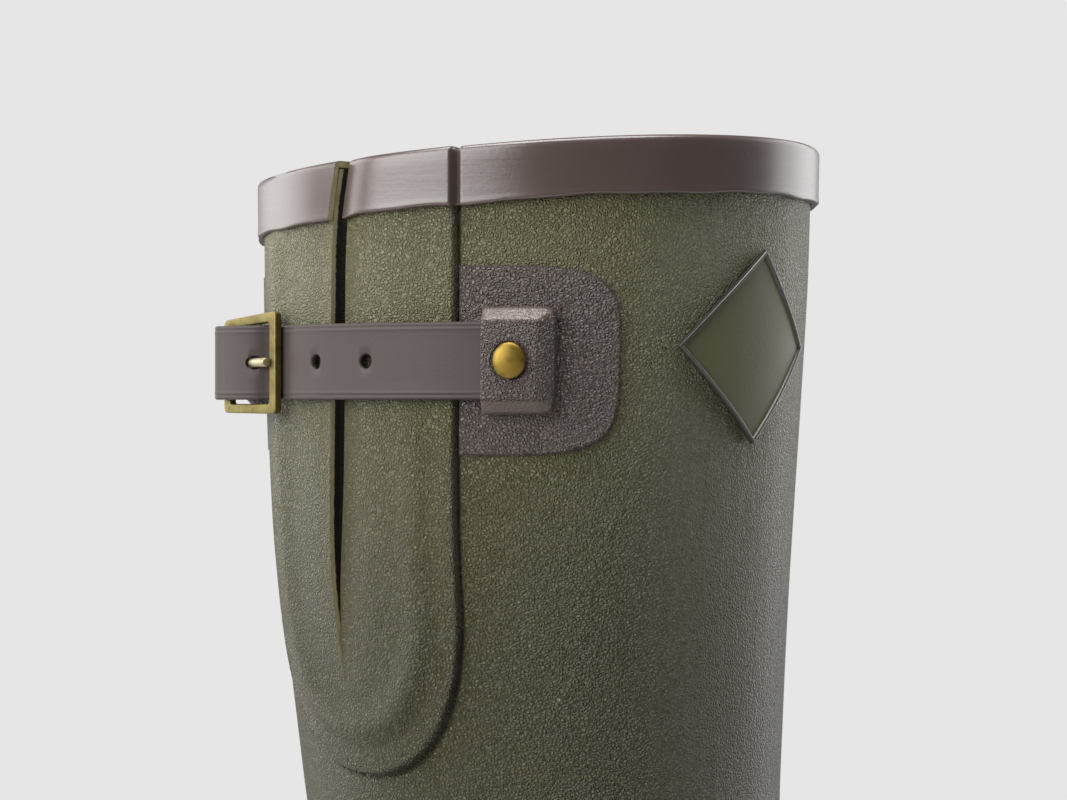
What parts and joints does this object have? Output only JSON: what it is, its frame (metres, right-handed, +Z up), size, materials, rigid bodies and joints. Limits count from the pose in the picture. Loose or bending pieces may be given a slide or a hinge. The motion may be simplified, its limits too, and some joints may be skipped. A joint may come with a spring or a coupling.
{
  "type": "rubber boot",
  "caption": "Tall moulded rubber boot, right foot, with a contrast collar band, a raised slit gusset panel closed by a strap and buckle, and a lugged sole.",
  "frame": {"origin": "centre of the bounding box, on the floor under the sole", "axes": "+X towards the toe, -Y towards the outer side of the right foot, +Z up the shaft"},
  "size_m": [0.3082, 0.1356, 0.402],
  "materials": {
    "olive_rubber": "fine leather-like grain, semi-matt",
    "taupe_rubber": "smooth to finely grained, satin",
    "badge_rubber": "smooth, satin, dark raised rim",
    "sole_rubber": "moulded, matt",
    "insole_foam": "woven face on foam",
    "aged_brass": "antique, slightly worn"
  },
  "bodies": {
    "root": {"upper": "olive_rubber", "collar_band": "taupe_rubber", "outsole": "sole_rubber", "insole": "insole_foam", "front_patch": "taupe_rubber", "rear_patch": "taupe_rubber", "strap": "taupe_rubber", "buckle_tab": "taupe_rubber", "buckle_frame": "aged_brass", "buckle_prong": "aged_brass", "rivet": "aged_brass", "badge": "badge_rubber"}
  },
  "joints": []
}
